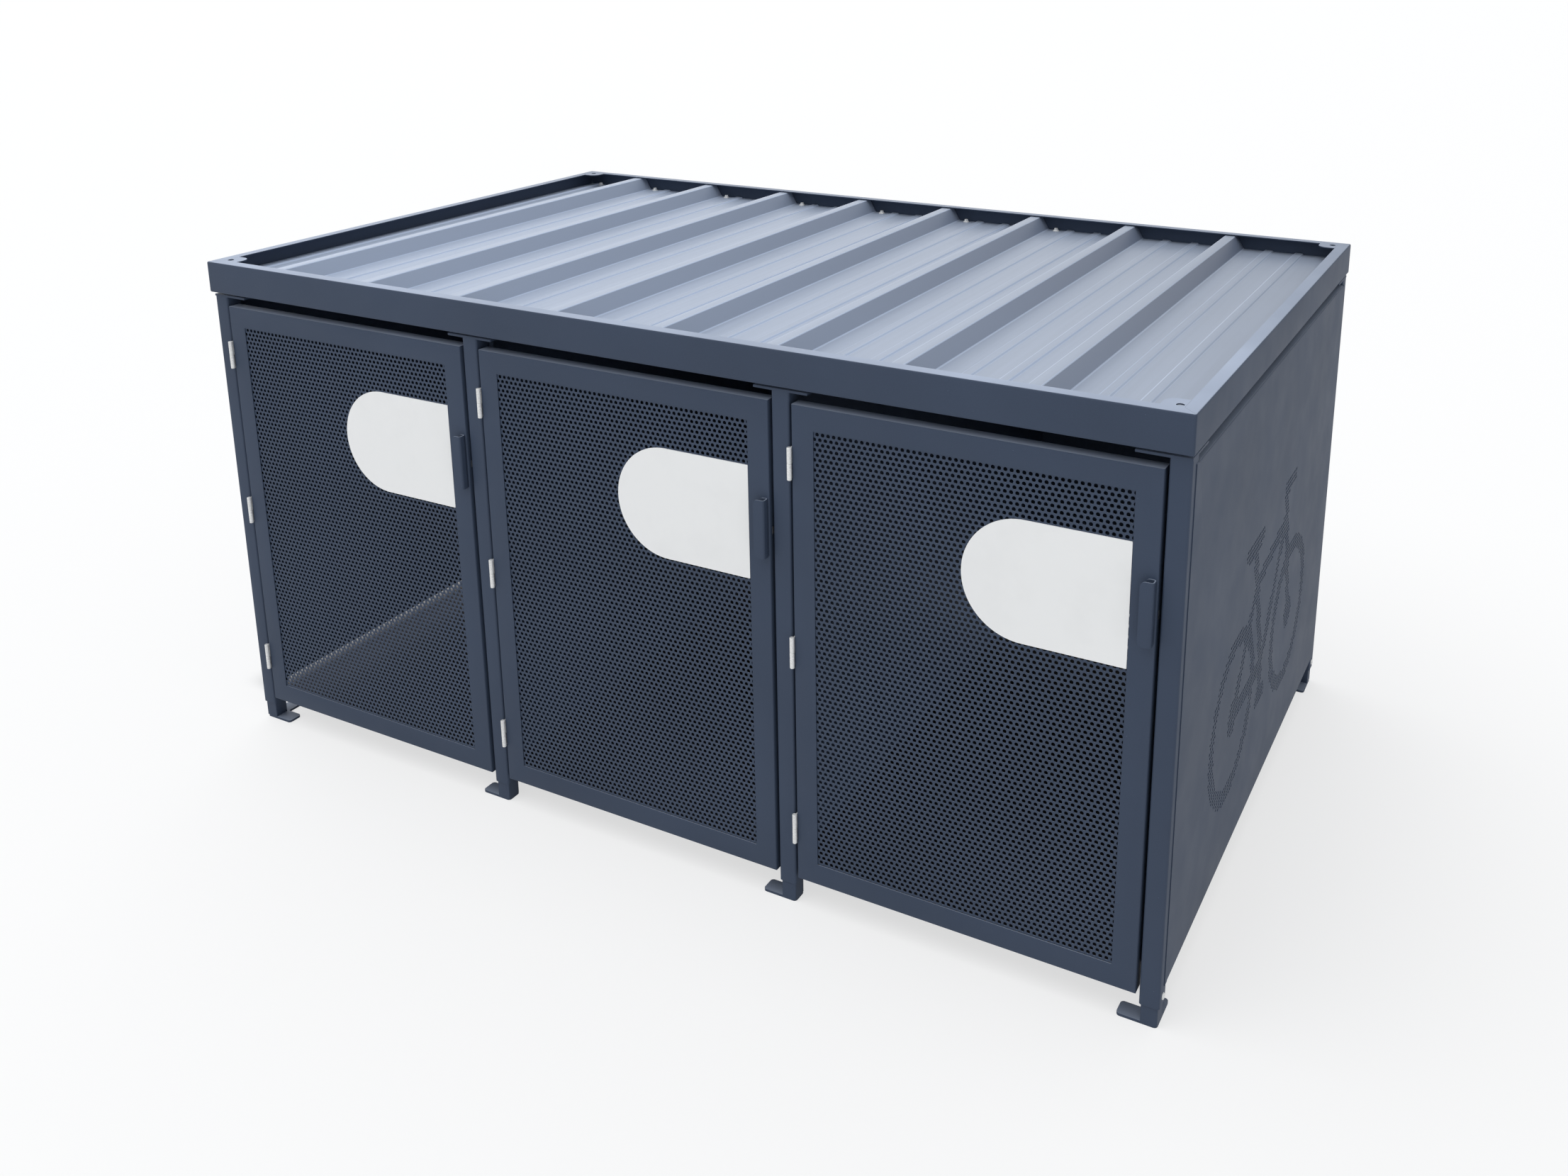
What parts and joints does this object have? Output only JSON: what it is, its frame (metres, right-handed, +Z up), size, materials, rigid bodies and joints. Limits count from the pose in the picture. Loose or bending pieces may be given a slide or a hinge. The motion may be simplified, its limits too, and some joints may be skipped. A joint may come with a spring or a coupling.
{
  "type": "bicycle locker",
  "caption": "Powder-coated steel bicycle locker with side by side bays, perforated hinged doors, a trapezoidal sheet roof in a channel frame and telescopic feet.",
  "frame": {"origin": "middle of the bounding box, at the level of the foot plates' undersides", "axes": "+X along the row of doors to the right, +Y from the doors to the back panel, +Z up"},
  "size_m": [2.98, 1.838, 1.52],
  "materials": {
    "powder_coat": "anthracite powder coat, fine satin texture",
    "roof_coat": "anthracite coil coating, semi-gloss",
    "pale_plate": "pale grey powder coat, satin",
    "zinc_steel": "zinc-plated steel",
    "lock_steel": "galvanised sheet steel, dull"
  },
  "bodies": {
    "locker_frame": {"roof_frame_front": "powder_coat", "roof_frame_back": "powder_coat", "roof_frame_left": "powder_coat", "roof_frame_right": "powder_coat", "roof_sheet": "roof_coat", "purlin_front": "powder_coat", "purlin_back": "powder_coat", "post_front_1": "powder_coat", "post_front_2": "powder_coat", "post_front_3": "powder_coat", "post_front_4": "powder_coat", "post_back_left": "powder_coat", "post_back_right": "powder_coat", "side_panel_left": "powder_coat", "side_panel_right": "powder_coat", "back_panel": "powder_coat", "partition_1": "powder_coat", "partition_2": "powder_coat", "hinge_1_1_post_half": "zinc_steel", "hinge_1_2_post_half": "zinc_steel", "hinge_1_3_post_half": "zinc_steel", "hinge_2_1_post_half": "zinc_steel", "hinge_2_2_post_half": "zinc_steel", "hinge_2_3_post_half": "zinc_steel", "hinge_3_1_post_half": "zinc_steel", "hinge_3_2_post_half": "zinc_steel", "hinge_3_3_post_half": "zinc_steel"},
    "door_1": {"door_1_frame": "powder_coat", "door_1_perforated_sheet": "powder_coat", "door_1_blank_plate": "pale_plate", "door_1_handle": "powder_coat", "door_1_lock_case": "lock_steel", "hinge_1_1_door_half": "zinc_steel", "hinge_1_2_door_half": "zinc_steel", "hinge_1_3_door_half": "zinc_steel"},
    "door_2": {"door_2_frame": "powder_coat", "door_2_perforated_sheet": "powder_coat", "door_2_blank_plate": "pale_plate", "door_2_handle": "powder_coat", "door_2_lock_case": "lock_steel", "hinge_2_1_door_half": "zinc_steel", "hinge_2_2_door_half": "zinc_steel", "hinge_2_3_door_half": "zinc_steel"},
    "door_3": {"door_3_frame": "powder_coat", "door_3_perforated_sheet": "powder_coat", "door_3_blank_plate": "pale_plate", "door_3_handle": "powder_coat", "door_3_lock_case": "lock_steel", "hinge_3_1_door_half": "zinc_steel", "hinge_3_2_door_half": "zinc_steel", "hinge_3_3_door_half": "zinc_steel"},
    "lock_bolt_1": {"door_1_lock_bolt": "zinc_steel"},
    "lock_bolt_2": {"door_2_lock_bolt": "zinc_steel"},
    "lock_bolt_3": {"door_3_lock_bolt": "zinc_steel"},
    "foot_1": {"foot_front_1": "powder_coat"},
    "foot_2": {"foot_front_2": "powder_coat"},
    "foot_3": {"foot_front_3": "powder_coat"},
    "foot_4": {"foot_front_4": "powder_coat"},
    "foot_5": {"foot_back_left": "powder_coat"},
    "foot_6": {"foot_back_right": "powder_coat"}
  },
  "joints": [
    {"name": "door_1_hinge", "type": "hinge", "parent": "locker_frame", "child": "door_1", "pos_m": [-1.43125, -0.9022, 0.7345], "axis": [0, 0, -1], "range_deg": [0, 105]},
    {"name": "door_2_hinge", "type": "hinge", "parent": "locker_frame", "child": "door_2", "pos_m": [-0.45792, -0.9022, 0.7345], "axis": [0, 0, -1], "range_deg": [0, 105]},
    {"name": "door_3_hinge", "type": "hinge", "parent": "locker_frame", "child": "door_3", "pos_m": [0.51542, -0.9022, 0.7345], "axis": [0, 0, -1], "range_deg": [0, 105]},
    {"name": "door_1_bolt_slide", "type": "slide", "parent": "door_1", "child": "lock_bolt_1", "axis": [1, 0, 0], "range_m": [0, 0.0175]},
    {"name": "door_2_bolt_slide", "type": "slide", "parent": "door_2", "child": "lock_bolt_2", "axis": [1, 0, 0], "range_m": [0, 0.0175]},
    {"name": "door_3_bolt_slide", "type": "slide", "parent": "door_3", "child": "lock_bolt_3", "axis": [1, 0, 0], "range_m": [0, 0.0175]},
    {"name": "foot_1_slide", "type": "slide", "parent": "locker_frame", "child": "foot_1", "axis": [0, 0, 1], "range_m": [0, 0.045]},
    {"name": "foot_2_slide", "type": "slide", "parent": "locker_frame", "child": "foot_2", "axis": [0, 0, 1], "range_m": [0, 0.045]},
    {"name": "foot_3_slide", "type": "slide", "parent": "locker_frame", "child": "foot_3", "axis": [0, 0, 1], "range_m": [0, 0.045]},
    {"name": "foot_4_slide", "type": "slide", "parent": "locker_frame", "child": "foot_4", "axis": [0, 0, 1], "range_m": [0, 0.045]},
    {"name": "foot_5_slide", "type": "slide", "parent": "locker_frame", "child": "foot_5", "axis": [0, 0, 1], "range_m": [0, 0.045]},
    {"name": "foot_6_slide", "type": "slide", "parent": "locker_frame", "child": "foot_6", "axis": [0, 0, 1], "range_m": [0, 0.045]}
  ]
}
